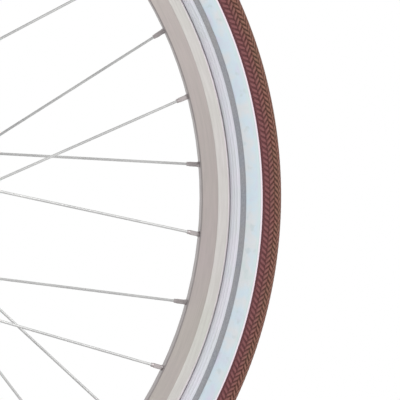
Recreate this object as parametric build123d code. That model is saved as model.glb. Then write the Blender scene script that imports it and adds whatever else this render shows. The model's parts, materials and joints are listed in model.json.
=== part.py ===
from build123d import *
import math
import os

# A 28-inch (622 mm) front wheel with a 47 mm tyre, in millimetres.
# Origin: centre of the wheel. +Y runs along the axle to the wheel's left side, +X is forward, +Z is up.
# Round pieces are drawn as half sections, radius along X and width along Y, and turned about the Y axis.

# ---- Driving dimensions ----
TYRE_RADIUS = 356.5          # outside radius of the tyre
SECTION_RADIUS = 23.0        # radius of the blown-up section, so the tyre is 46 mm wide
TREAD_HALF_ANGLE = 74.4      # the tread covers the section this far each side of its crown, in degrees
BELLY_ANGLE = 104.0          # beyond this angle the section curls in to the rim
BELLY_RADIUS = 14.56         # radius of that curl
SKIN = 0.9                   # thickness of the sidewall rubber
PLY = 1.1                    # thickness of the casing
TREAD_CROWN = 3.4            # tread and belt together, at the crown
BELT = 0.8
BELT_HALF_WIDTH = 16.0
BAND_INNER = 323.4           # the reflective band, as radii from the axle
BAND_OUTER = 327.3
BAND_DEPTH = 0.45
RIM_LINES = (319.6, 321.4)   # inner edges of the two fine ribs moulded above the rim, as radii from the axle
RIM_LINE_WIDTH = 0.7
RIM_LINE_HEIGHT = 0.3
CHAFER = 0.5

BEAD_SEAT = 311.0            # half of 622 mm
FLANGE_RADIUS = 317.0        # outside radius of the rim's flanges
RIM_HALF_WIDTH = 12.5
FLANGE_ROUND = 1.5           # radius of a flange's tip
TRACK_BOTTOM = 308.1         # inner edge of the brake track
RIM_INNER = 296.4            # the face that the spokes come out of
BED_THICKNESS = 2.2
WELL_RADIUS = 308.0
RIM_WALL = 1.6

SPOKES = 36
CROSS_ANGLE = 60.0           # a spoke's hub hole is this far round from its rim hole, which is a three-cross lacing
SPOKE_RADIUS = 1.0
RIM_HOLE_OFFSET = 1.5        # rim holes stand this far to the left and right of the middle
NIPPLE_OUT = 9.3             # how far a nipple stands out of the rim

FLANGE_HOLE_CIRCLE = 44.0    # radius of the circle of spoke holes in the hub
FLANGE_SPACING = 60.0        # between the middles of the hub's flanges
HUB_FLANGE = 2.6             # thickness of a hub flange
HUB_FLANGE_RADIUS = 48.5
LOCKNUT_SPACING = 100.0      # over the locknuts, which is a front fork's width
AXLE_RADIUS = 4.5
AXLE_BORE = 2.65             # for a 5 mm skewer
AXLE_STUB = 5.5              # how far the axle stands out of its locknuts

BALLS = 10
BALL_RADIUS = 2.38           # 3/16 inch
BALL_CIRCLE = 10.2
BALL_Y = 37.0
RACE_RADIUS = 2.42

VALVE_RADIUS = 3.85
VALVE_TIP = 268.0            # radius from the axle of the valve's mouth
VALVE_FOOT = 310.7

# ---- Worked out from them ----
SECTION_CENTRE = TYRE_RADIUS - SECTION_RADIUS
TIP_CENTRE = (FLANGE_RADIUS - FLANGE_ROUND, RIM_HALF_WIDTH - FLANGE_ROUND)
TIP_GAP = 0.15               # between the tyre and the flange's tip
LEG_Y = TIP_CENTRE[1] - FLANGE_ROUND - TIP_GAP
TYRE_BOTTOM = BEAD_SEAT + TIP_GAP
PITCH = 360 / SPOKES
FLANGE_FACE = (FLANGE_SPACING + HUB_FLANGE) / 2
LOCKNUT_FACE = LOCKNUT_SPACING / 2
AXLE_HALF = LOCKNUT_FACE + AXLE_STUB


def save(name, *shapes):
    """Write one node, made of one solid or of a group of separate ones."""
    shape = shapes[0] if len(shapes) == 1 else Compound(children=list(shapes))
    export_step(shape, f"parts/{name}.step")


def polar(centre, radius, angle):
    """A point of the half section, at an angle counted from the outward direction towards +Y."""
    turn = math.radians(angle)
    return (centre[0] + radius * math.cos(turn), centre[1] + radius * math.sin(turn))


def turned(section):
    """The solid that a half section makes when it is turned about the axle."""
    return revolve(section, Axis.Y, 360)


def mirrored(section):
    return mirror(section, Plane.XZ)


def block(radius_from, radius_to, y_from, y_to):
    """A rectangle of the half section."""
    middle = ((radius_from + radius_to) / 2, (y_from + y_to) / 2)
    return Pos(*middle) * Rectangle(radius_to - radius_from, y_to - y_from)


def outline(*points):
    return make_face(Polyline(*points, close=True))


def at_wheel_angle(angle, shape):
    """Turn a shape made on the +X side to its place round the wheel, from front to bottom."""
    return Rot(0, angle, 0) * shape


# ---- Tyre ----
def tyre_section(depth, bottom=TYRE_BOTTOM):
    """Everything inside the tyre's outside surface moved in by depth, down to the radius bottom."""
    centre = (SECTION_CENTRE, 0)
    crown = SECTION_RADIUS - depth
    belly = BELLY_RADIUS - depth
    tip = FLANGE_ROUND + TIP_GAP + depth
    belly_centre = polar(centre, SECTION_RADIUS - BELLY_RADIUS, BELLY_ANGLE)
    to_tip = (TIP_CENTRE[0] - belly_centre[0], TIP_CENTRE[1] - belly_centre[1])
    neck_angle = math.degrees(math.atan2(to_tip[1], to_tip[0]))
    neck = polar(belly_centre, belly, neck_angle)
    leg = (TIP_CENTRE[0], TIP_CENTRE[1] - tip)
    tip_middle = polar(TIP_CENTRE, tip, (neck_angle - 180 - 90) / 2)
    belly_middle = polar(belly_centre, belly, (BELLY_ANGLE + neck_angle) / 2)
    shoulder = polar(centre, crown, BELLY_ANGLE)
    left_side = [
        ThreePointArc(shoulder, belly_middle, neck),
        ThreePointArc(neck, tip_middle, leg),
        Line(leg, (bottom, leg[1])),
    ]
    right_side = [mirrored(edge).edge() for edge in left_side]
    over = ThreePointArc(shoulder, (SECTION_CENTRE + crown, 0), (shoulder[0], -shoulder[1]))
    base = Line((bottom, leg[1]), (bottom, -leg[1]))
    return make_face([over, *left_side, base, *right_side])


def crown_disc(depth):
    """The flatter circle that the casing follows under the tread, moved in by depth."""
    edge = polar((SECTION_CENTRE, 0), SECTION_RADIUS - SKIN, TREAD_HALF_ANGLE)
    top = TYRE_RADIUS - TREAD_CROWN
    centre = (top + edge[0]) / 2 - edge[1] ** 2 / (2 * (top - edge[0]))
    return Pos(centre, 0) * Circle(top - centre - depth)


def tread_wedge():
    reach = 2 * SECTION_RADIUS
    corner = polar((SECTION_CENTRE, 0), reach, TREAD_HALF_ANGLE)
    far = SECTION_CENTRE + 2 * reach
    return outline((SECTION_CENTRE, 0), corner, (far, corner[1]), (far, -corner[1]), (corner[0], -corner[1]))


BEAD_TOE = 5.4               # half of the gap between the two beads
BEAD_TOP = TIP_CENTRE[0]
WIRE_CENTRE = (313.4, 7.1)
WIRE_RADIUS = 0.9


def make_tyre():
    whole = tyre_section(0)
    under_skin = tyre_section(SKIN) & crown_disc(0)
    above_tip = block(BEAD_TOP, TYRE_RADIUS, -SECTION_RADIUS, SECTION_RADIUS)
    belt_zone = block(SECTION_CENTRE, TYRE_RADIUS, -BELT_HALF_WIDTH, BELT_HALF_WIDTH)
    belt = (crown_disc(-BELT) - crown_disc(0)) & belt_zone
    tread = (whole & tread_wedge()) - crown_disc(0) - belt
    save("tyre_tread", turned(tread))
    save("puncture_belt", turned(belt))

    bead_block = block(TYRE_BOTTOM + CHAFER, BEAD_TOP, BEAD_TOE, LEG_Y - CHAFER)
    bead_hole = Pos(*WIRE_CENTRE) * Circle(WIRE_RADIUS)
    plies = under_skin - (tyre_section(SKIN + PLY) & crown_disc(PLY))
    plies = plies & block(TYRE_BOTTOM + CHAFER, TYRE_RADIUS, -SECTION_RADIUS, SECTION_RADIUS)
    casing = plies + bead_block + mirrored(bead_block) - bead_hole - mirrored(bead_hole)
    save("casing", turned(casing))

    half = block(BEAD_SEAT, TYRE_RADIUS, 0, SECTION_RADIUS)
    skin = ((whole - tread_wedge() - under_skin) & above_tip) & half
    for inner in RIM_LINES:
        zone = block(inner, inner + RIM_LINE_WIDTH, TIP_CENTRE[1], SECTION_RADIUS)
        skin += (tyre_section(-RIM_LINE_HEIGHT) - tyre_section(SKIN / 2)) & zone
    band = (whole - tyre_section(BAND_DEPTH)) & block(BAND_INNER, BAND_OUTER, 0, SECTION_RADIUS)
    chafer = block(TYRE_BOTTOM, BEAD_TOP, BEAD_TOE, LEG_Y) - bead_block
    for name, section in (
        ("sidewall", skin - band),
        ("reflective_band", band),
        ("chafer", chafer),
        ("bead_wire", bead_hole),
    ):
        save(f"{name}_left", turned(section))
        save(f"{name}_right", turned(mirrored(section)))


# ---- Inner tube and rim tape ----
TUBE_WALL = 0.9
TUBE_GAP = 0.3               # between the tube and the casing
TUBE_BOTTOM = 309.5
TAPE = 0.7


def tube_section(inset):
    neck_room = TUBE_GAP + inset
    depth = SKIN + PLY + TUBE_GAP + inset
    shape = tyre_section(depth, TUBE_BOTTOM + inset) & crown_disc(PLY + TUBE_GAP + inset)
    bead = block(TUBE_BOTTOM - 1, BEAD_TOP + neck_room, BEAD_TOE - neck_room, SECTION_RADIUS)
    return shape - bead - mirrored(bead)


def valve_bore(radius):
    """A cutter for the valve's hole, at the bottom of the wheel."""
    return Pos(0, 0, -(RIM_INNER + WELL_RADIUS) / 2) * Cylinder(radius, 30)


def make_tube_and_tape():
    tube = turned(tube_section(0) - tube_section(TUBE_WALL))
    save("inner_tube", tube - valve_bore(VALVE_RADIUS))
    tape = turned(block(WELL_RADIUS + 0.05, WELL_RADIUS + 0.05 + TAPE, -5.2, 5.2))
    save("rim_tape", tape - valve_bore(VALVE_RADIUS + 0.2))


# ---- Rim ----
SLOPE_TOP = (TRACK_BOTTOM, RIM_HALF_WIDTH - 0.6)
SLOPE_BOTTOM = (RIM_INNER + 0.6, 6.9)
BED_HALF = 6.0
HOOK_Y = RIM_HALF_WIDTH - 2 * FLANGE_ROUND


def rim_half():
    """One half of the extrusion, from the middle of its spoke bed round to the middle of its well."""
    outside = Polyline(
        (WELL_RADIUS, 0), (RIM_INNER, 0), (RIM_INNER, BED_HALF), SLOPE_BOTTOM, SLOPE_TOP,
        (TRACK_BOTTOM, RIM_HALF_WIDTH), (TIP_CENTRE[0], RIM_HALF_WIDTH),
    )
    tip = ThreePointArc(
        (TIP_CENTRE[0], RIM_HALF_WIDTH), (FLANGE_RADIUS, TIP_CENTRE[1]), (TIP_CENTRE[0], HOOK_Y)
    )
    inside = Polyline(
        (TIP_CENTRE[0], HOOK_Y), (314.4, HOOK_Y), (313.4, HOOK_Y + 0.8), (311.8, HOOK_Y + 0.8),
        (BEAD_SEAT, HOOK_Y), (BEAD_SEAT, 7.0), (WELL_RADIUS, 5.4), (WELL_RADIUS, 0),
    )
    return make_face([*outside.edges(), tip, *inside.edges()])


def chamber_half(inset=0):
    """The hollow between the spoke bed and the well, moved in by inset."""
    floor = RIM_INNER + BED_THICKNESS + inset
    roof = WELL_RADIUS - RIM_WALL - inset
    return outline(
        (floor, 0), (floor, 5.0 - inset), (floor + 0.4, 6.2 - inset), (307.4 - inset, 9.9 - inset),
        (307.4 - inset, 7.6), (roof, 6.0 - inset), (roof, 0),
    )


def make_rim(spoke_sets):
    solid = turned(rim_half() + mirrored(rim_half()))
    hollow = turned(chamber_half() + mirrored(chamber_half()))
    cutters = [valve_bore(VALVE_RADIUS + 0.4)]
    for spoke_set in spoke_sets:
        cutters += spoke_set.rim_cutters()
    save("rim", solid - hollow - cutters)
    inset = 0.1
    piece = revolve(chamber_half(inset) + mirrored(chamber_half(inset)), Axis.Y, 0.7 * PITCH)
    save("rim_joint_sleeve", Rot(0, -90 - 0.35 * PITCH, 0) * piece)


# ---- Spokes and nipples ----
ELBOW_RADIUS = 2.4
SPOKE_GAP = 0.1              # between two spokes where they cross
SPOKE_IN_NIPPLE = 3.5        # how far a spoke runs past the spoke bed
HEAD_RADIUS = 1.9
HEAD_THICKNESS = 1.1
NIPPLE_RADIUS = 2.0
NIPPLE_SQUARE = 3.3
NIPPLE_HOLE = 2.3
NIPPLE_HEAD = 3.1
NIPPLE_COLLAR = 2.0          # the round end of a nipple, past its square
NIPPLE_SEAT_GAP = 0.45
ACCESS_HOLE = 4.2
HUB_HOLE = 1.25


def stack(solid, radius, bottom, top):
    """A round solid between two heights."""
    return Pos(0, 0, (bottom + top) / 2) * solid(radius, top - bottom)


class SpokeSet:
    """The spokes of one flange that lean the same way, and their nipples."""

    def __init__(self, side, lean, first_angle, elbow_outside):
        self.side = side                  # +1 left flange, -1 right flange
        self.lean = lean                  # +1 hub hole behind the rim hole, -1 ahead of it
        self.angles = [first_angle + 4 * PITCH * i for i in range(SPOKES // 4)]
        self.out = 1 if elbow_outside else -1
        self.set_points()

    def set_points(self):
        """The spoke's corners, for a rim hole on the +X side."""
        turn = math.radians(self.lean * CROSS_ANGLE)
        hub = (FLANGE_HOLE_CIRCLE * math.cos(turn), FLANGE_HOLE_CIRCLE * math.sin(turn))
        across = math.tan(math.radians(self.lean * PITCH))
        # where this spoke meets the last of the three spokes that it crosses
        share = (hub[1] - across * hub[0]) / (hub[1] + across * (RIM_INNER - hub[0]))
        flange_y = FLANGE_SPACING / 2
        elbow_y = flange_y + self.out * (HUB_FLANGE / 2 + ELBOW_RADIUS)
        middle_y = flange_y + share * (RIM_HOLE_OFFSET - flange_y)
        cross_y = middle_y - self.out * (SPOKE_RADIUS + SPOKE_GAP / 2)
        head_y = flange_y - self.out * (HUB_FLANGE / 2 + HEAD_THICKNESS / 2)
        self.head = Vector(hub[0], self.side * head_y, hub[1])
        self.elbow = Vector(hub[0], self.side * elbow_y, hub[1])
        self.cross = Vector(
            hub[0] + share * (RIM_INNER - hub[0]), self.side * cross_y, hub[1] * (1 - share)
        )
        self.seat = Vector(RIM_INNER, self.side * RIM_HOLE_OFFSET, 0)
        self.inward = (self.cross - self.seat).normalized()
        self.end = self.seat - self.inward * SPOKE_IN_NIPPLE

    def nipple_plane(self):
        """Origin where the nipple leaves the spoke bed, +Z along the spoke towards the hub."""
        return Plane(origin=self.seat, x_dir=(0, 1, 0), z_dir=self.inward)

    def spoke(self):
        path = FilletPolyline(self.head, self.elbow, self.cross, self.end, radius=(ELBOW_RADIUS, 40))
        start = Plane(origin=self.head, z_dir=self.elbow - self.head)
        wire = sweep(start * Circle(SPOKE_RADIUS), path=path)
        head = start * Cylinder(HEAD_RADIUS, HEAD_THICKNESS)
        return wire + head

    def nipple(self):
        square_from, square_to = 1.5, NIPPLE_OUT - NIPPLE_COLLAR
        shank = stack(Cylinder, NIPPLE_RADIUS, -BED_THICKNESS - 1.3, square_from)
        drive = stack(Cylinder, NIPPLE_RADIUS + 0.15, square_from, square_to)
        drive &= Pos(0, 0, square_to / 2) * Box(NIPPLE_SQUARE, NIPPLE_SQUARE, square_to)
        collar = stack(Cylinder, NIPPLE_SQUARE / 2 - 0.1, square_to, NIPPLE_OUT)
        # the ball-shaped underside of the head rests on the edge of the rim's hole
        rise = math.sqrt(NIPPLE_HEAD ** 2 - NIPPLE_HOLE ** 2) + NIPPLE_SEAT_GAP
        head = Pos(0, 0, -BED_THICKNESS - rise) * Sphere(NIPPLE_HEAD)
        head_from, head_to = -BED_THICKNESS - 3.4, -BED_THICKNESS - 0.4
        head &= stack(Cylinder, NIPPLE_HEAD, head_from, head_to)
        bore = Cylinder(SPOKE_RADIUS + 0.03, 4 * NIPPLE_OUT)
        slot = Pos(0, 0, head_from) * Box(2 * NIPPLE_HEAD, 1.0, 2.0)
        return self.nipple_plane() * (shank + drive + collar + head - bore - slot)

    def rim_cutters(self):
        hole = Cylinder(NIPPLE_HOLE, 8)
        access = Pos(0, 0, RIM_INNER - WELL_RADIUS) * Cylinder(ACCESS_HOLE, 8)
        return [at_wheel_angle(a, self.nipple_plane() * tool) for a in self.angles for tool in (hole, access)]

    def hub_holes(self):
        place = Pos(self.head.X, self.side * FLANGE_SPACING / 2, self.head.Z) * Rot(90, 0, 0)
        return [at_wheel_angle(a, place * Cylinder(HUB_HOLE, 3 * HUB_FLANGE)) for a in self.angles]

    def write(self, name):
        spoke = self.spoke()
        nipple = self.nipple()
        save(f"spokes_{name}", *[at_wheel_angle(a, spoke) for a in self.angles])
        save(f"nipples_{name}", *[at_wheel_angle(a, nipple) for a in self.angles])


# ---- Hub ----
SHELL_BORE = 10.5
CUP_SEAT = 13.6
CUP_FROM = 34.0
BOSS_END = 40.0
BOSS_RADIUS = 15.5
BARREL_RADIUS = 12.8
LIGHTENING_HOLES = 6
WINDOW_RADIUS = 7.0
CUP_BORE = 8.3
CUP_END = 39.6
CONE_FLATS_FROM = 42.0
CONE_END = 45.2
WASHER_END = 46.4
THREAD_BORE = AXLE_RADIUS + 0.05
BALL_POCKET_GAP = 0.07


def shell_half():
    inner_face = FLANGE_FACE - HUB_FLANGE
    return outline(
        (SHELL_BORE, 0), (BARREL_RADIUS, 0), (BARREL_RADIUS, 18), (14.5, 24), (17.5, inner_face - 1.2),
        (19.5, inner_face), (HUB_FLANGE_RADIUS - 0.8, inner_face), (HUB_FLANGE_RADIUS, inner_face + 0.8),
        (HUB_FLANGE_RADIUS, FLANGE_FACE - 0.8), (HUB_FLANGE_RADIUS - 0.8, FLANGE_FACE), (18, FLANGE_FACE),
        (BOSS_RADIUS, FLANGE_FACE + 1.6), (BOSS_RADIUS, BOSS_END), (CUP_SEAT, BOSS_END),
        (CUP_SEAT, CUP_FROM), (SHELL_BORE, CUP_FROM),
    )


def make_shell(spoke_sets):
    shell = turned(shell_half() + mirrored(shell_half()))
    cutters = []
    for spoke_set in spoke_sets:
        cutters += spoke_set.hub_holes()
    window = Pos(30.5, 0, 0) * Rot(90, 0, 0) * Cylinder(WINDOW_RADIUS, 3 * FLANGE_SPACING)
    cutters += [at_wheel_angle(360 * i / LIGHTENING_HOLES, window) for i in range(LIGHTENING_HOLES)]
    save("hub_shell", shell - cutters)


def ring(inner, outer, y_from, y_to):
    return turned(block(inner, outer, y_from, y_to))


def both_sides(name, shape):
    save(f"{name}_left", shape)
    save(f"{name}_right", mirrored(shape))


def hexagon_nut(across_flats, thickness):
    """A hexagonal plate about the axle."""
    flat = RegularPolygon(across_flats / 2, 6, major_radius=False)
    return Rot(90, 0, 0) * extrude(flat, thickness / 2, both=True)


def make_balls_and_races():
    race = Pos(BALL_CIRCLE, BALL_Y) * Circle(RACE_RADIUS)
    cup = block(CUP_BORE, CUP_SEAT - 0.02, CUP_FROM, CUP_END) - race
    cup -= block(CUP_BORE - 1, BALL_CIRCLE + RACE_RADIUS, BALL_Y, BOSS_END)
    cup -= block(CUP_BORE - 1, BALL_CIRCLE, BALL_Y - RACE_RADIUS, BOSS_END)
    both_sides("bearing_cup", turned(cup))

    cone = block(THREAD_BORE, BALL_CIRCLE, BALL_Y - 1.8, CONE_FLATS_FROM) - race
    cone -= block(BALL_CIRCLE - RACE_RADIUS, BALL_CIRCLE + 1, BALL_Y - 2, BALL_Y)
    neck = ring(THREAD_BORE, 7.5, CONE_FLATS_FROM, CONE_END)
    neck &= Pos(0, (CONE_FLATS_FROM + CONE_END) / 2, 0) * Box(13, CONE_END - CONE_FLATS_FROM, 20)
    both_sides("cone", turned(cone) + neck)

    angles = [360 / BALLS * i for i in range(BALLS)]
    place = Pos(BALL_CIRCLE, BALL_Y, 0)
    balls = [at_wheel_angle(a, place * Sphere(BALL_RADIUS)) for a in angles]
    save("balls_left", *balls)
    save("balls_right", *[mirrored(ball) for ball in balls])
    pockets = [at_wheel_angle(a, place * Sphere(BALL_RADIUS + BALL_POCKET_GAP)) for a in angles]
    both_sides("ball_retainer", ring(9.6, 12.45, BALL_Y + 1.55, BALL_Y + 2.15) - pockets)


def make_hub_hardware():
    cap_skirt = ring(CUP_SEAT - 0.75, CUP_SEAT - 0.05, CUP_END, BOSS_END)
    both_sides("dust_cap", ring(BALL_CIRCLE + 0.4, BOSS_RADIUS - 0.2, BOSS_END, BOSS_END + 0.8) + cap_skirt)
    both_sides("lock_washer", ring(THREAD_BORE, 8.4, CONE_END, WASHER_END))
    nut = Pos(0, (WASHER_END + LOCKNUT_FACE) / 2, 0) * hexagon_nut(15, LOCKNUT_FACE - WASHER_END)
    both_sides("locknut", nut - Rot(90, 0, 0) * Cylinder(THREAD_BORE, 3 * LOCKNUT_FACE))


def make_axle():
    """Hollow and threaded, with a plain waist and an undercut at each locknut's face."""
    waist, waist_end, undercut, chamfer = 4.25, 33.0, 0.8, 0.5
    half = outline(
        (AXLE_BORE, 0), (waist, 0), (waist, waist_end), (AXLE_RADIUS, waist_end + 0.4),
        (AXLE_RADIUS, LOCKNUT_FACE - undercut), (waist, LOCKNUT_FACE - undercut), (waist, LOCKNUT_FACE),
        (AXLE_RADIUS, LOCKNUT_FACE), (AXLE_RADIUS, AXLE_HALF - chamfer), (AXLE_RADIUS - chamfer, AXLE_HALF),
        (AXLE_BORE, AXLE_HALF),
    )
    save("axle", turned(half + mirrored(half)))


# ---- Valve, hanging at the bottom of the wheel, with its heights given as radii from the axle ----
BARREL = 2.6                 # bore of the stem, where the core screws in
THROAT = 1.8                 # bore beyond the core
CORE_FLOOR = 284.0           # where the pin's seal closes the core
SPRING_FLOOR = 276.0
PIN_COLLAR = VALVE_TIP + 2.2
COLLAR_THICKNESS = 0.7
COIL_RADIUS = 1.3
COIL_WIRE = 0.2
COIL_TURNS = 5
FOOT_RADIUS = 4.1
FOOT_THICKNESS = 0.9
VALVE_THREAD_GAP = 0.08
CAP_END = VALVE_TIP + 9.5
NUT_THICKNESS = 3.0


def upright(radius, radius_from, radius_to):
    """A round bar along the valve, between two radii from the axle."""
    return stack(Cylinder, radius, -radius_to, -radius_from)


def make_valve_body():
    stem = upright(VALVE_RADIUS, VALVE_TIP, VALVE_FOOT)
    stem += upright(FOOT_RADIUS, VALVE_FOOT, VALVE_FOOT + FOOT_THICKNESS)
    stem -= upright(BARREL, VALVE_TIP - 1, CORE_FLOOR + 3)
    save("valve_stem", stem - upright(THROAT, CORE_FLOOR, VALVE_FOOT + 5))

    thread = upright(VALVE_RADIUS + VALVE_THREAD_GAP, VALVE_TIP - 0.1, RIM_INNER)
    save("valve_cap", upright(VALVE_RADIUS + 0.75, VALVE_TIP - 1.4, CAP_END) - thread)
    hexagon = extrude(RegularPolygon(6.0, 6, major_radius=False), NUT_THICKNESS / 2, both=True)
    save("valve_nut", Pos(0, 0, NUT_THICKNESS / 2 + 0.1 - RIM_INNER) * hexagon - thread)


def make_valve_core():
    pin_radius, bore = 0.7, 0.78
    core = upright(BARREL - 0.02, VALVE_TIP + 2, CORE_FLOOR) - upright(bore, VALVE_TIP, CORE_FLOOR + 1)
    save("valve_core", core - upright(COIL_RADIUS + 0.6, VALVE_TIP, SPRING_FLOOR))
    pin = upright(pin_radius, VALVE_TIP + 0.8, CORE_FLOOR + 1.4)
    pin += upright(COIL_RADIUS + 0.3, PIN_COLLAR, PIN_COLLAR + COLLAR_THICKNESS)
    save("valve_pin", pin + upright(THROAT - 0.3, CORE_FLOOR + 0.05, CORE_FLOOR + 1.4))

    clear = COIL_WIRE + 0.1
    coil_from = PIN_COLLAR + COLLAR_THICKNESS + clear
    height = SPRING_FLOOR - clear - coil_from
    helix = Helix(pitch=height / COIL_TURNS, height=height, radius=COIL_RADIUS)
    coil = sweep(Plane(origin=helix @ 0, z_dir=helix % 0) * Circle(COIL_WIRE), path=helix, is_frenet=True)
    save("valve_spring", Pos(0, 0, -coil_from - height) * coil)


os.makedirs("parts", exist_ok=True)
HALF_PITCH = PITCH / 2
LACING = {
    "left_leading": SpokeSet(side=1, lean=1, first_angle=-HALF_PITCH, elbow_outside=False),
    "left_trailing": SpokeSet(side=1, lean=-1, first_angle=-HALF_PITCH + 2 * PITCH, elbow_outside=True),
    "right_leading": SpokeSet(side=-1, lean=1, first_angle=HALF_PITCH, elbow_outside=False),
    "right_trailing": SpokeSet(side=-1, lean=-1, first_angle=HALF_PITCH + 2 * PITCH, elbow_outside=True),
}
make_tyre()
make_tube_and_tape()
make_rim(LACING.values())
for set_name, spokes in LACING.items():
    spokes.write(set_name)
make_shell(LACING.values())
make_balls_and_races()
make_hub_hardware()
make_axle()
make_valve_body()
make_valve_core()
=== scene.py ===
import json
import math

import bmesh
import bpy
from mathutils import Matrix, Vector


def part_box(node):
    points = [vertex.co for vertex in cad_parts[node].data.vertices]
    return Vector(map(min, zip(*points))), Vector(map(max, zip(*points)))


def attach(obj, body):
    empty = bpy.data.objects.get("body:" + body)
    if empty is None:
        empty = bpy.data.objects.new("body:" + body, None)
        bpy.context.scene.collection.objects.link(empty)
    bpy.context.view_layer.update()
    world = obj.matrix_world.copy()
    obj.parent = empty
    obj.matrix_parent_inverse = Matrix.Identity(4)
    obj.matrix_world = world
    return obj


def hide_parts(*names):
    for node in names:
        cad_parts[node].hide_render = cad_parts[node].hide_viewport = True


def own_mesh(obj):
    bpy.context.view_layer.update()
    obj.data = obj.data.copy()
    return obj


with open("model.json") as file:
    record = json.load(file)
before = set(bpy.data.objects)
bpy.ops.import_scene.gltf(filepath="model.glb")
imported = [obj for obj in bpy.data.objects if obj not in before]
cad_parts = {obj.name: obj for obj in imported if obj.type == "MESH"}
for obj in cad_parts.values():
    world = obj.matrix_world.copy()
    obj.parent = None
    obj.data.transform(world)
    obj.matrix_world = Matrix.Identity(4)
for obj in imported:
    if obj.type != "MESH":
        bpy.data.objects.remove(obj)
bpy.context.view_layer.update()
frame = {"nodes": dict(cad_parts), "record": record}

MM = 0.001


# ---- Sizes read from the frame, in metres ----
def reach(node, axis):
    """The furthest a CAD node comes along an axis, from 0 for X to 2 for Z."""
    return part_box(node)[1][axis]


TYRE_RADIUS = reach("tyre_tread", 0)
SECTION_RADIUS = reach("sidewall_left", 1)
SECTION_CENTRE = TYRE_RADIUS - SECTION_RADIUS
TREAD_EDGE = reach("sidewall_left", 0)
TREAD_ANGLE = math.atan2(reach("tyre_tread", 1), TREAD_EDGE - SECTION_CENTRE)
FLANGE_RADIUS = reach("rim", 0)
RIM_HALF_WIDTH = reach("rim", 1)
BAND_OUTER = reach("reflective_band_left", 0)
AXLE_RADIUS = reach("axle", 0)
AXLE_HALF = reach("axle", 1)

# ---- Shapes that the frame's boxes don't give ----
BELLY_ANGLE = math.radians(104)      # where the section starts to curl in to the rim
BELLY_RADIUS = 14.56 * MM
BAND_INNER = BAND_OUTER - 3.9 * MM
SKIN = 0.9 * MM
RIM_LINES = (319.95 * MM, 321.75 * MM)   # the fine ribs moulded above the rim
BRAKE_TRACK_FROM = 308.1 * MM
RIM_BED = 296.4 * MM                 # the face that the spokes come out of


# ---- Meshes ----
def finish_mesh(name, verts, faces, sharp_angle=35):
    mesh = bpy.data.meshes.new(name)
    mesh.from_pydata(verts, [], faces)
    bm = bmesh.new()
    bm.from_mesh(mesh)
    bmesh.ops.recalc_face_normals(bm, faces=bm.faces)
    bm.to_mesh(mesh)
    bm.free()
    mesh.polygons.foreach_set("use_smooth", [True] * len(mesh.polygons))
    mesh.set_sharp_from_angle(angle=math.radians(sharp_angle))
    piece = bpy.data.objects.new(name, mesh)
    bpy.context.scene.collection.objects.link(piece)
    return piece


def tube_faces(rings, count, closed=True):
    """Faces that join rings of count points, one after the other, and the last to the first if closed."""
    faces = []
    for i in range(rings if closed else rings - 1):
        here, there = i * count, (i + 1) % rings * count
        for j in range(count):
            k = (j + 1) % count
            faces.append((here + j, here + k, there + k, there + j))
    return faces


def lathe(name, profile, segments, change=None, place=Matrix()):
    """Turn a closed list of (radius, height) points about the height axis, which is +Y before place.

    change(angle, radius, height) may give each point another radius, as a thread or a hexagon does.
    """
    verts = []
    for i in range(segments):
        angle = 2 * math.pi * i / segments
        for radius, height in profile:
            r = change(angle, radius, height) if change else radius
            verts.append(place @ Vector((r * math.cos(angle), height, -r * math.sin(angle))))
    return finish_mesh(name, verts, tube_faces(segments, len(profile)))


def steps(start, end, count):
    """count + 1 even places from start to end."""
    return [start + (end - start) * i / count for i in range(count + 1)]


def bump_at(x, centre, half_width, height):
    """A smooth bump on a line."""
    t = abs(x - centre) / half_width
    return height * (0.5 + 0.5 * math.cos(math.pi * t)) if t < 1 else 0.0


# ---- Shader nodes ----
def linear(r, g, b):
    """A colour given as 0 to 255 display values."""
    def one(v):
        v /= 255
        return v / 12.92 if v <= 0.04045 else ((v + 0.055) / 1.055) ** 2.4
    return (one(r), one(g), one(b), 1.0)


def feed(tree, socket, value):
    """Give a socket a fixed value, or link another node's output to it."""
    if isinstance(value, (int, float, tuple)):
        socket.default_value = value
    else:
        tree.links.new(value, socket)


def map_range(tree, value, start, end, low, high):
    """Map a value between start and end to low and high."""
    made = tree.nodes.new("ShaderNodeMapRange")
    for socket, source in zip(made.inputs, (value, start, end, low, high)):
        feed(tree, socket, source)
    return made.outputs["Result"]


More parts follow.
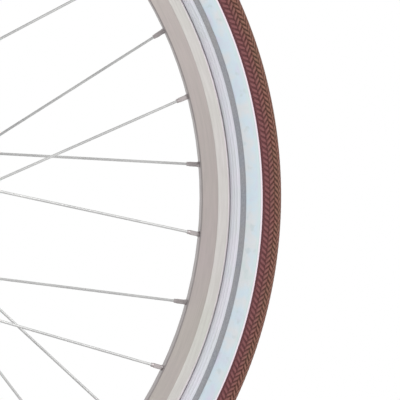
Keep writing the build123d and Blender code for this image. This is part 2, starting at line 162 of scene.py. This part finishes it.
class Finish:
    """A Principled material and the few kinds of node that these finishes are made of."""

    def __init__(self, name, roughness=0.5, metallic=0.0):
        self.material = bpy.data.materials.new(name)
        self.material.use_nodes = True
        self.tree = self.material.node_tree
        self.shader = self.tree.nodes["Principled BSDF"]
        self.shader.inputs["Roughness"].default_value = roughness
        self.shader.inputs["Metallic"].default_value = metallic
        self.place = self.node("ShaderNodeTexCoord").outputs["Object"]

    def node(self, kind, **settings):
        made = self.tree.nodes.new(kind)
        for key, value in settings.items():
            setattr(made, key, value)
        return made

    def link(self, source, target):
        self.tree.links.new(source, target)

    def math(self, operation, first, second=0.0):
        made = self.node("ShaderNodeMath", operation=operation)
        feed(self.tree, made.inputs[0], first)
        feed(self.tree, made.inputs[1], second)
        return made.outputs[0]

    def wheel_place(self):
        """Radius, angle round and width of a point, in metres and radians, about the wheel's axis."""
        split = self.node("ShaderNodeSeparateXYZ")
        self.link(self.place, split.inputs[0])
        x, y, z = split.outputs
        squares = self.math("ADD", self.math("MULTIPLY", x, x), self.math("MULTIPLY", z, z))
        return self.math("SQRT", squares), self.math("ARCTAN2", z, x), y

    def stretched_round(self, along=0.02):
        """Coordinates in which a noise is drawn out round the wheel, as a tool's marks are."""
        radius, angle, width = self.wheel_place()
        joined = self.node("ShaderNodeCombineXYZ")
        self.link(radius, joined.inputs[0])
        self.link(self.math("MULTIPLY", angle, along), joined.inputs[1])
        self.link(width, joined.inputs[2])
        return joined.outputs[0]

    def noise(self, scale, detail=3.0, place=None):
        made = self.node("ShaderNodeTexNoise")
        made.inputs["Scale"].default_value = scale
        made.inputs["Detail"].default_value = detail
        self.link(place or self.place, made.inputs["Vector"])
        return made.outputs["Fac"]

    def spread(self, value, low, high, start=0.3, end=0.7):
        """Map a value between start and end to low and high. The middle of a noise is 0.3 to 0.7."""
        return map_range(self.tree, value, start, end, low, high)

    def ramp(self, value, *stops):
        """Colours at places from 0 to 1."""
        made = self.node("ShaderNodeValToRGB")
        elements = made.color_ramp.elements
        while len(elements) < len(stops):
            elements.new(0.5)
        for element, (place, colour) in zip(elements, stops):
            element.position = place
            element.color = colour
        self.link(value, made.inputs["Fac"])
        return made.outputs["Color"]

    def mix(self, factor, first, second):
        made = self.node("ShaderNodeMix", data_type="RGBA")
        first_colour, second_colour = made.inputs[6], made.inputs[7]
        feed(self.tree, made.inputs["Factor"], factor)
        feed(self.tree, first_colour, first)
        feed(self.tree, second_colour, second)
        return made.outputs[2]

    def shaded(self, colour, amount):
        """A colour made lighter or darker by a socket's value."""
        made = self.node("ShaderNodeVectorMath", operation="SCALE")
        self.link(colour, made.inputs[0])
        self.link(amount, made.inputs["Scale"])
        return made.outputs[0]

    def colour(self, value):
        self.link(value, self.shader.inputs["Base Color"])

    def roughness(self, value):
        self.link(value, self.shader.inputs["Roughness"])

    def bump(self, height, distance):
        made = self.node("ShaderNodeBump")
        made.inputs["Distance"].default_value = distance
        made.inputs["Strength"].default_value = 1.0
        self.link(height, made.inputs["Height"])
        self.link(made.outputs["Normal"], self.shader.inputs["Normal"])


# ---- Finishes ----
def tread_finish():
    """Reddish-brown rubber, plum-coloured towards the tread's edges, with painted shade: darker grooves between
    paler ribs, a little over the crown, and most in the low strip at the tread's border.
    """
    f = Finish("tread_rubber", roughness=0.62)
    f.shader.inputs["Specular IOR Level"].default_value = 0.2
    relief = f.node("ShaderNodeAttribute", attribute_name="relief").outputs["Fac"]
    _, _, width = f.wheel_place()
    out = f.math("ABSOLUTE", width)
    tint = f.spread(f.noise(85, 2), 0, 1)
    edge = f.spread(out, 0, 1, 15 * MM, 20.5 * MM)
    # crown: painted shade, the middle of the tread mixed a little towards a dark brown
    crown = f.spread(out, 1, 0, 4 * MM, 12 * MM)
    # border: painted shadow, a dark plum over the low strip at the tread's very edge, beyond the ribs' ends
    border = f.spread(out, 0, 1, 21.3 * MM, 21.8 * MM)
    ribs = f.mix(tint, linear(138, 92, 82), linear(132, 95, 79))
    ribs = f.mix(edge, ribs, linear(130, 82, 83))
    # grooves: painted shade, a darker colour on the low floors between the ribs, set by the relief attribute;
    # towards the edges it is lighter, so the painted shade is weaker there
    grooves = f.mix(tint, linear(84, 50, 43), linear(80, 58, 46))
    grooves = f.mix(edge, grooves, linear(108, 66, 69))
    colour = f.mix(f.spread(relief, 0, 1, 0.15, 0.9), grooves, ribs)
    colour = f.mix(f.math("MULTIPLY", crown, 0.3), colour, linear(84, 68, 58))
    colour = f.mix(border, colour, linear(94, 62, 73))
    f.colour(f.shaded(colour, f.spread(f.noise(900, 4), 0.86, 1.08)))
    f.roughness(f.spread(f.noise(400), 0.6, 0.8))
    f.bump(f.noise(2600, 4), 0.05 * MM)
    return f.material


def sidewall_finish():
    """Bluish-white rubber, a little mottled, with the mould's fine turning marks, and a painted highlight on
    the bead at the tread's edge.
    """
    f = Finish("sidewall_rubber", roughness=0.55)
    radius, _, _ = f.wheel_place()
    cloudy = f.noise(48, 4)
    rings = f.noise(520, 2, f.stretched_round())
    patches = f.ramp(
        cloudy,
        (0.32, linear(202, 202, 217)), (0.46, linear(197, 212, 221)),
        (0.58, linear(208, 211, 214)), (0.70, linear(196, 209, 209)),
    )
    lower = f.mix(f.spread(rings, 0, 1), linear(220, 222, 232), linear(216, 220, 222))
    lower = f.mix(f.spread(cloudy, 0, 0.6, 0.45, 0.6), lower, linear(226, 222, 232))
    colour = f.mix(f.spread(radius, 0, 1, BAND_INNER, BAND_OUTER), lower, patches)

    above_band = f.spread(radius, 0, 1, BAND_OUTER, BAND_OUTER + 1 * MM)
    blotches = f.math("MULTIPLY", f.spread(f.noise(150, 2), 0.0, 0.55, 0.60, 0.70), above_band)
    colour = f.mix(blotches, colour, linear(184, 196, 199))
    greenish = f.spread(radius, 0, 0.6, TREAD_EDGE - 4.2 * MM, TREAD_EDGE - 2.6 * MM)
    colour = f.mix(greenish, colour, linear(196, 213, 211))
    # Painted highlight: the raised bead just under the tread's edge is painted near white, where it catches the
    # light.
    bead_highlight = f.spread(radius, 0, 1, TREAD_EDGE - 1.35 * MM, TREAD_EDGE - 1.0 * MM)
    f.colour(f.mix(bead_highlight, colour, linear(233, 220, 228)))
    f.roughness(f.spread(f.noise(160), 0.45, 0.62))
    f.bump(f.noise(1500, 3, f.stretched_round()), 0.06 * MM)
    return f.material


def reflective_finish():
    """Grey film of small prisms, each painted lighter in its middle as a glint."""
    f = Finish("reflective_film", roughness=0.36, metallic=0.25)
    prisms = f.node("ShaderNodeTexVoronoi", feature="F1")
    prisms.inputs["Scale"].default_value = 1100
    f.link(f.place, prisms.inputs["Vector"])
    tone = f.mix(f.spread(f.noise(45, 3), 0, 1), linear(154, 158, 168), linear(164, 163, 165))
    # The prisms' cells are the film's own pattern; their lighter middles are painted glints.
    f.colour(f.shaded(tone, f.spread(prisms.outputs["Distance"], 1.08, 0.86, 0.1, 0.7)))
    f.bump(prisms.outputs["Distance"], 0.08 * MM)
    return f.material


def rim_finish():
    """Anodised aluminium: a satin inner face with a painted dark reflection along its inner edge, and a brake
    track turned bright with a painted highlight on the flange's lip.
    """
    f = Finish("rim_anodised", roughness=0.4, metallic=0.8)
    radius, _, _ = f.wheel_place()
    marks = f.noise(2400, 2, f.stretched_round(0.004))
    bands = f.noise(620, 2, f.stretched_round())
    warm = f.spread(f.noise(14, 2), 0, 1)
    # corner: painted dark reflection, the satin face darkened along the rim's inner edge where the surface
    # curves away
    corner = f.spread(radius, 1, 0, RIM_BED + 0.6 * MM, RIM_BED + 1.0 * MM)
    track = f.spread(radius, 0, 1, BRAKE_TRACK_FROM - 0.2 * MM, BRAKE_TRACK_FROM)
    # tip: painted highlight, the flange's rounded lip painted near white
    tip = f.spread(radius, 0, 1, FLANGE_RADIUS - 1.9 * MM, FLANGE_RADIUS - 1.3 * MM)
    satin = f.mix(warm, linear(210, 197, 197), linear(205, 198, 191))
    satin = f.mix(corner, satin, linear(150, 143, 143))
    bright = f.mix(warm, linear(219, 213, 213), linear(214, 214, 207))
    bright = f.mix(tip, bright, linear(236, 229, 230))
    metal = f.mix(track, satin, bright)
    metal = f.mix(f.spread(bands, 0, 0.32), metal, linear(186, 180, 176))
    f.colour(f.mix(f.spread(marks, 0.0, 0.3, 0.55, 0.75), metal, linear(176, 170, 166)))
    f.roughness(f.spread(marks, 0.34, 0.5))
    groove_pitch = 0.32 * MM
    grooves = f.math("SINE", f.math("MULTIPLY", radius, 2 * math.pi / groove_pitch))
    grooves = f.math("MULTIPLY", f.math("MULTIPLY", grooves, track), 0.25)
    f.bump(f.math("ADD", grooves, marks), 0.03 * MM)
    return f.material


def drawn_metal(name, light, dark, roughness, metallic=1.0, bump=0.015 * MM):
    """Metal with fine marks and a slow change of tone."""
    f = Finish(name, roughness, metallic)
    slow = f.spread(f.noise(30, 2), 0, 1)
    fine = f.noise(900, 3)
    f.colour(f.mix(f.math("MULTIPLY", slow, f.spread(fine, 0.4, 1.0)), light, dark))
    f.roughness(f.spread(fine, roughness - 0.06, roughness + 0.08))
    f.bump(fine, bump)
    return f.material


def turned_metal(name, light, dark, roughness):
    """Metal from a lathe, with marks that run round the axle."""
    f = Finish(name, roughness, metallic=1.0)
    marks = f.noise(2200, 3, f.stretched_round(0.003))
    f.colour(f.mix(f.spread(marks, 0, 1), light, dark))
    f.roughness(f.spread(marks, roughness - 0.07, roughness + 0.1))
    f.bump(marks, 0.03 * MM)
    return f.material


def plain_rubber(name, light, dark, roughness):
    """Rubber or plastic with a fine grain."""
    f = Finish(name, roughness)
    grain = f.noise(700, 4)
    f.colour(f.mix(f.spread(grain, 0, 1), light, dark))
    f.roughness(f.spread(grain, roughness - 0.1, roughness + 0.08))
    f.bump(grain, 0.05 * MM)
    return f.material


def woven_finish(name, light, dark, pitch):
    """Rubberised cord, woven across the tyre."""
    f = Finish(name, roughness=0.8)
    _, angle, width = f.wheel_place()
    round_tyre = f.math("MULTIPLY", angle, 0.33)

    def cords(slant):
        return f.math("SINE", f.math("MULTIPLY", f.math(slant, round_tyre, width), 2 * math.pi / pitch))
    weave = f.math("MULTIPLY", cords("ADD"), cords("SUBTRACT"))
    f.colour(f.mix(f.spread(weave, 0, 1, -1, 1), dark, light))
    f.bump(weave, 0.1 * MM)
    return f.material


FINISHES = {
    "tread": tread_finish(),
    "sidewall": sidewall_finish(),
    "reflective": reflective_finish(),
    "rim_metal": rim_finish(),
    "belt": plain_rubber("belt_rubber", linear(70, 70, 72), linear(48, 48, 50), 0.7),
    "cord_fabric": woven_finish("casing_cord", linear(196, 180, 140), linear(128, 112, 80), 1.0 * MM),
    "chafer_fabric": woven_finish("chafer_weave", linear(90, 90, 92), linear(44, 44, 46), 0.8 * MM),
    "butyl": plain_rubber("butyl_rubber", linear(52, 52, 54), linear(32, 32, 34), 0.45),
    "tape": plain_rubber("rim_tape_rubber", linear(64, 64, 68), linear(44, 44, 46), 0.6),
    "hub_metal": turned_metal("hub_aluminium", linear(226, 225, 224), linear(196, 195, 196), 0.24),
    "axle_steel": drawn_metal("axle_steel", linear(150, 148, 146), linear(104, 102, 100), 0.34),
    "bearing_steel": turned_metal("bearing_steel", linear(180, 180, 184), linear(140, 140, 144), 0.22),
    "ball_steel": drawn_metal("ball_steel", linear(220, 220, 224), linear(200, 200, 206), 0.1, bump=0.002 * MM),
    "plated_steel": turned_metal("plated_steel", linear(206, 206, 208), linear(170, 171, 175), 0.26),
    "spring_steel": drawn_metal("spring_steel", linear(168, 168, 172), linear(120, 120, 126), 0.32),
    "spoke_wire": drawn_metal("spoke_stainless", linear(200, 200, 199), linear(176, 176, 176), 0.4, 0.65),
    "nipple_plate": drawn_metal("nipple_nickel", linear(186, 179, 179), linear(148, 141, 141), 0.32, 0.7),
    "valve_brass": drawn_metal("valve_nickel", linear(206, 200, 186), linear(168, 160, 142), 0.28),
    "cap_plastic": plain_rubber("cap_plastic", linear(40, 40, 42), linear(26, 26, 28), 0.42),
}


def dress(piece, slot, body, node):
    """Give a new piece its finish and its body, and let it stand for a CAD node."""
    piece.data.materials.append(FINISHES[slot])
    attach(piece, body)
    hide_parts(node)


# ---- Tread ----
PERIODS = 522                        # ribs round the tyre
COLUMNS = 11                         # strips of slanted ribs across the tread
COLUMN_ANGLE = math.radians(13.0)
RIB_RISE = 4.0 * MM                  # how far a rib runs round the tyre while it crosses one strip
RIB_INSET = 0.13                     # share of a strip's width from its border to the rib's end
GROOVE_DEPTH = 0.75 * MM
STAGGER = 0.25                       # how far each strip is set round from the border beside it, in pitches
TREAD_THICKNESS = 1.7 * MM
# one rib: where it is in its pitch, and how high it stands
RIB_PROFILE = ((0.0, 0.0), (0.24, 0.0), (0.42, 1.0), (0.84, 1.0))


def section_point(angle, depth):
    """A point of the tyre's round section, at an angle from its crown towards the left."""
    r = SECTION_RADIUS - depth
    return SECTION_CENTRE + r * math.cos(angle), r * math.sin(angle)


def tread_columns():
    """Places across the tread: (angle, move round the tyre in metres, height allowed, depth of its floor)."""
    half = COLUMNS * COLUMN_ANGLE / 2
    pitch = 2 * math.pi * TYRE_RADIUS / PERIODS
    places = [(-TREAD_ANGLE, 0.0, 0.0, 0.0)]
    for column in range(COLUMNS):
        start = -half + column * COLUMN_ANGLE
        way = 1 if column % 2 == 0 else -1
        places.append((start, 0.0, 0.0, GROOVE_DEPTH))
        for share in (RIB_INSET, 1 - RIB_INSET):
            move = way * ((share - 0.5) * RIB_RISE + STAGGER * pitch)
            places.append((start + share * COLUMN_ANGLE, move, 1.0, GROOVE_DEPTH))
    places.append((half, 0.0, 0.0, GROOVE_DEPTH))
    places.append((TREAD_ANGLE, 0.0, 0.0, 0.0))
    return places


def make_tread():
    """The rubber cap: slanted ribs in strips over the outside, and a smooth inside."""
    outside = tread_columns()
    inside_angle = TREAD_ANGLE * 0.96
    inside = steps(inside_angle, -inside_angle, 4)
    verts, relief = [], []
    for period in range(PERIODS):
        for phase, top in RIB_PROFILE:
            turn = 2 * math.pi * (period + phase) / PERIODS
            for angle, move, height, floor in outside:
                lift = top * height
                shown = turn + move / TYRE_RADIUS
                r, y = section_point(angle, floor * (1 - lift))
                verts.append((r * math.cos(shown), y, -r * math.sin(shown)))
                relief.append(lift)
            for angle in inside:
                r, y = section_point(angle, TREAD_THICKNESS)
                verts.append((r * math.cos(turn), y, -r * math.sin(turn)))
                relief.append(0.0)
    faces = tube_faces(PERIODS * len(RIB_PROFILE), len(outside) + len(inside))
    piece = finish_mesh("tread_rubber", verts, faces, sharp_angle=28)
    # relief: how high each point of the tread stands; the tread's finish uses it to paint shade into the low
    # places
    attribute = piece.data.attributes.new("relief", "FLOAT", "POINT")
    attribute.data.foreach_set("value", relief)
    dress(piece, "tread", "wheel", "tyre_tread")


# ---- Sidewalls ----
SEGMENTS_ROUND = 540
LIP_DEPTH = 1.5 * MM                 # from the rim's lip to where the rubber meets it
BAND_FACE = 0.06 * MM                # depths below the section's outside: the film's face, its back,
BAND_BACK = 0.43 * MM
BAND_RECESS = 0.45 * MM              # and the floor of the recess that it lies in


def sidewall_outline():
    """(radius, y, outward direction) of the left sidewall's outside, from the tread to the rim."""
    tip = (FLANGE_RADIUS - LIP_DEPTH, RIM_HALF_WIDTH - LIP_DEPTH)
    turn = SECTION_RADIUS - BELLY_RADIUS
    centre = (SECTION_CENTRE + turn * math.cos(BELLY_ANGLE), turn * math.sin(BELLY_ANGLE))
    neck = math.atan2(tip[1] - centre[1], tip[0] - centre[0])
    points = []
    for a in steps(TREAD_ANGLE, BELLY_ANGLE, 26)[:-1]:
        points.append((SECTION_CENTRE, 0.0, SECTION_RADIUS, a))
    for a in steps(BELLY_ANGLE, neck, 74):
        points.append((*centre, BELLY_RADIUS, a))
    return [
        (r0 + radius * math.cos(a), y0 + radius * math.sin(a), (math.cos(a), math.sin(a)))
        for r0, y0, radius, a in points
    ]


def in_band(radius):
    return BAND_INNER < radius < BAND_OUTER


def sidewall_relief(radius):
    """How far the rubber stands proud at a radius from the axle."""
    if in_band(radius):
        return -BAND_RECESS
    height = bump_at(radius, TREAD_EDGE - 0.9 * MM, 0.9 * MM, 0.28 * MM)
    height += bump_at(radius, TREAD_EDGE - 3.2 * MM, 0.5 * MM, 0.10 * MM)
    height += bump_at(radius, BAND_OUTER + 1.0 * MM, 0.6 * MM, 0.12 * MM)
    for rib in RIM_LINES:
        height += bump_at(radius, rib, 0.45 * MM, 0.3 * MM)
    return height + bump_at(radius, FLANGE_RADIUS + 1.5 * MM, 0.7 * MM, 0.35 * MM)


def sunk(outline, depth):
    """An outline moved in by a depth."""
    return [(r - depth * dr, y - depth * dy) for r, y, (dr, dy) in outline]


def make_sidewalls():
    outline = sidewall_outline()
    outer = [(r + sidewall_relief(r) * dr, y + sidewall_relief(r) * dy) for r, y, (dr, dy) in outline]
    skin_profile = outer + sunk(outline[::-6], SKIN)
    band = [point for point in outline if in_band(point[0])]
    film_profile = sunk(band, BAND_FACE) + sunk(band[::-1], BAND_BACK)
    for side, way in (("left", 1), ("right", -1)):
        skin = lathe(f"sidewall_skin_{side}", [(r, way * y) for r, y in skin_profile], SEGMENTS_ROUND)
        dress(skin, "sidewall", "wheel", f"sidewall_{side}")
        film = lathe(f"reflective_film_{side}", [(r, way * y) for r, y in film_profile], SEGMENTS_ROUND)
        dress(film, "reflective", "wheel", f"reflective_band_{side}")


# ---- Axle and locknuts ----
FIT = 0.01 * MM                      # two radii this close are the same
CHAMFER = 0.3 * MM                   # at the mouth of a nut's or the axle's bore


def thread(depth, pitch, start, end):
    """A radius change that cuts a screw thread into the outside of a bar, between two heights."""
    def change(angle, radius, height):
        if not start <= height <= end:
            return radius
        place = (height / pitch + angle / (2 * math.pi)) % 1.0
        return radius - depth * abs(2 * place - 1)
    return change


def hexagon(across_flats, inner):
    """A radius change that makes everything outside the bore six-sided, with its corners turned off."""
    def change(angle, radius, height):
        if radius <= inner:
            return radius
        flat = across_flats / 2 / math.cos((angle % (math.pi / 3)) - math.pi / 6)
        return min(flat, radius)
    return change


def nut_profile(bore, outer, low, high, chamfer):
    return [
        (bore, low + CHAMFER), (bore + CHAMFER, low), (outer - chamfer * 2.2, low), (outer, low + chamfer),
        (outer, high - chamfer), (outer - chamfer * 2.2, high), (bore + CHAMFER, high), (bore, high - CHAMFER),
    ]


def hexagon_nut(name, bore, outer, across_flats, low, high, chamfer, place=Matrix()):
    profile = nut_profile(bore, outer, low, high, chamfer)
    return lathe(name, profile, 144, hexagon(across_flats, bore + CHAMFER + FIT), place)


def make_axle():
    bore, chamfer, end = 2.65 * MM, 0.6 * MM, AXLE_HALF
    profile = [(bore, end - CHAMFER), (bore, -end + CHAMFER), (bore + CHAMFER, -end)]
    profile += [(AXLE_RADIUS - chamfer, -end)]
    profile += [(AXLE_RADIUS, h) for h in steps(-end + chamfer, end - chamfer, 660)]
    profile += [(AXLE_RADIUS - chamfer, end), (bore + CHAMFER, end)]
    cut = thread(0.5 * MM, 1.0 * MM, -end + chamfer, end - chamfer)

    def change(angle, radius, height):
        return cut(angle, radius, height) if radius >= AXLE_RADIUS - FIT else radius
    piece = lathe("axle_threaded", profile, 64, change)
    dress(piece, "axle_steel", "axle_set", "axle")


def make_locknuts():
    across_flats = 15 * MM
    corner = across_flats / math.sqrt(3)
    for side in ("left", "right"):
        low, high = (point[1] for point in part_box(f"locknut_{side}"))
        bore = AXLE_RADIUS + 0.05 * MM
        nut = hexagon_nut(f"locknut_faced_{side}", bore, corner, across_flats, low, high, 0.45 * MM)
        dress(nut, "plated_steel", "axle_set", f"locknut_{side}")


# ---- Valve: its heights are distances from the axle, downwards ----
DOWN = Matrix.Rotation(-math.pi / 2, 4, "X")
STEM_RADIUS = 3.85 * MM
STEM_BORE = STEM_RADIUS + 0.08 * MM  # of what screws onto the stem


def valve_span(node):
    """How near the axle a piece of the valve comes, and how far from it."""
    low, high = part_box(node)
    return -high[2], -low[2]


def make_valve_stem():
    mouth, foot = valve_span("valve_stem")
    _, rim_face = valve_span("valve_nut")
    barrel, throat, foot_radius = 2.6 * MM, 1.8 * MM, 4.1 * MM
    core_floor = mouth + 18 * MM
    profile = [(barrel, core_floor), (barrel, mouth + 0.3 * MM), (barrel + 0.2 * MM, mouth)]
    profile += [(STEM_RADIUS - 0.6 * MM, mouth)]
    profile += [(STEM_RADIUS, h) for h in steps(mouth + 0.5 * MM, rim_face + 6 * MM, 300)]
    profile += [(STEM_RADIUS, foot - 1.3 * MM), (foot_radius, foot - 0.9 * MM), (foot_radius, foot)]
    profile += [(throat, foot), (throat, core_floor)]
    cut = thread(0.35 * MM, 0.79 * MM, mouth + 0.5 * MM, rim_face)

    def change(angle, radius, height):
        return cut(angle, radius, height) if abs(radius - STEM_RADIUS) < FIT else radius
    piece = lathe("valve_stem_threaded", profile, 48, change, DOWN)
    dress(piece, "valve_brass", "wheel", "valve_stem")


def make_valve_nut():
    top, bottom = valve_span("valve_nut")
    nut = hexagon_nut("valve_ring_nut", STEM_BORE, 6.93 * MM, 12 * MM, top, bottom, 0.5 * MM, DOWN)
    dress(nut, "valve_brass", "valve_nut", "valve_nut")


def make_valve_cap():
    top, skirt = valve_span("valve_cap")
    outer = reach("valve_cap", 0)
    flutes, flute_depth = 22, 0.22 * MM
    flute_from, flute_to = top + 1.6 * MM, skirt - 1.2 * MM
    ceiling = top + 1.3 * MM
    pole = 0.05 * MM

    def fluted(angle, radius, height):
        if radius < outer - 0.02 * MM or not flute_from < height < flute_to:
            return radius
        return radius - flute_depth * (0.5 - 0.5 * math.cos(flutes * angle))
    profile = [(pole, top), (outer - 1.3 * MM, top), (outer - 0.45 * MM, top + 0.3 * MM)]
    profile += [(outer, top + 1.1 * MM)]
    profile += [(outer, h) for h in steps(flute_from - 0.05 * MM, flute_to + 0.05 * MM, 8)]
    profile += [(outer, skirt - 0.3 * MM), (outer - 0.2 * MM, skirt)]
    profile += [(STEM_BORE + 0.1 * MM, skirt), (STEM_BORE, skirt - 0.3 * MM)]
    profile += [(STEM_BORE, ceiling), (pole, ceiling)]
    cap = lathe("valve_cap_fluted", profile, 8 * flutes, fluted, DOWN)
    dress(cap, "cap_plastic", "valve_cap", "valve_cap")


def make_valve_spring():
    """The coil stands on the floor of its core."""
    low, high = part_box("valve_spring")
    turns, around, sides = 5, 24, 8
    wire, gap, travel = 0.2 * MM, 0.1 * MM, 1.2 * MM
    coil = high[0] - wire
    bottom, top = low[2] + wire, high[2] - wire
    rings = turns * around + 1
    verts = []
    for i in range(rings):
        share = i / (turns * around)
        angle = 2 * math.pi * turns * share
        outward = Vector((math.cos(angle), math.sin(angle), 0))
        middle = coil * outward + Vector((0, 0, bottom + (top - bottom) * share))
        for j in range(sides):
            turn = 2 * math.pi * j / sides
            verts.append(middle + wire * (math.cos(turn) * outward + Vector((0, 0, math.sin(turn)))))
    ends = [tuple(range(sides)), tuple(range(len(verts) - sides, len(verts)))]
    spring = finish_mesh("valve_spring_coil", verts, ends + tube_faces(rings, sides, closed=False))
    dress(spring, "spring_steel", "wheel", "valve_spring")
    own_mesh(spring)


# ---- Pieces that are shown as the frame gives them ----
def dress_cad_nodes():
    slots = {row["node"]: row["material_slot"] for row in frame["record"]["subparts"]}
    for node, piece in frame["nodes"].items():
        piece.data.materials.clear()
        piece.data.materials.append(FINISHES[slots[node]])


# ---- Floor, light and camera ----
def make_floor():
    bpy.ops.mesh.primitive_circle_add(
        vertices=96, radius=1.45, fill_type="NGON", location=(0, 0, -TYRE_RADIUS)
    )
    floor = bpy.context.object
    floor.name = "floor"
    f = Finish("floor_paper", roughness=0.9)
    f.colour(f.mix(f.spread(f.noise(3, 2), 0, 1), (0.90, 0.90, 0.90, 1), (0.88, 0.88, 0.88, 1)))
    floor.data.materials.append(f.material)


def make_world():
    """A white studio that is darker in front of the wheel, towards the left of the camera."""
    world = bpy.data.worlds.new("studio")
    bpy.context.scene.world = world
    world.use_nodes = True
    tree = world.node_tree
    coordinates = tree.nodes.new("ShaderNodeTexCoord")
    split = tree.nodes.new("ShaderNodeSeparateXYZ")
    tree.links.new(coordinates.outputs["Generated"], split.inputs[0])
    x, y, _ = split.outputs
    across = map_range(tree, x, -0.15, 0.3, 0.38, 1.15)
    strength = map_range(tree, y, -0.25, -0.6, 1.0, across)
    background = tree.nodes["Background"]
    background.inputs["Color"].default_value = (1, 1, 1, 1)
    tree.links.new(strength, background.inputs["Strength"])


def soft_light(name, place, size, power):
    """A square light that faces the wheel's centre."""
    lamp = bpy.data.lights.new(name, "AREA")
    lamp.energy = power
    lamp.size = size
    piece = bpy.data.objects.new(name, lamp)
    piece.location = place
    piece.rotation_euler = (-Vector(place)).to_track_quat("-Z", "Y").to_euler()
    bpy.context.scene.collection.objects.link(piece)


def make_camera():
    """Square on to the wheel's front edge, a little from the left and above, through a long lens."""
    camera = bpy.data.objects.new("camera", bpy.data.cameras.new("camera"))
    bpy.context.scene.collection.objects.link(camera)
    place = Vector((-0.2221, -4.0, 0.3733))
    target = Vector((0.29596, 0.0, -0.00044))
    look = (target - place).to_track_quat("-Z", "Y").to_matrix().to_4x4()
    roll = Matrix.Rotation(math.radians(0.333), 4, "Z")
    camera.matrix_world = Matrix.Translation(place) @ look @ roll
    camera.data.sensor_width = 36
    camera.data.lens = 492.02
    camera.data.clip_end = 100
    bpy.context.scene.camera = camera


make_tread()
make_sidewalls()
make_axle()
make_locknuts()
make_valve_stem()
make_valve_nut()
make_valve_cap()
make_valve_spring()
dress_cad_nodes()
make_floor()
make_world()
soft_light("key", (1.6, -2.6, 1.8), size=1.6, power=30)
soft_light("fill", (-2.2, -1.8, 1.2), size=1.6, power=8)
make_camera()
bpy.context.scene.view_settings.view_transform = "Standard"
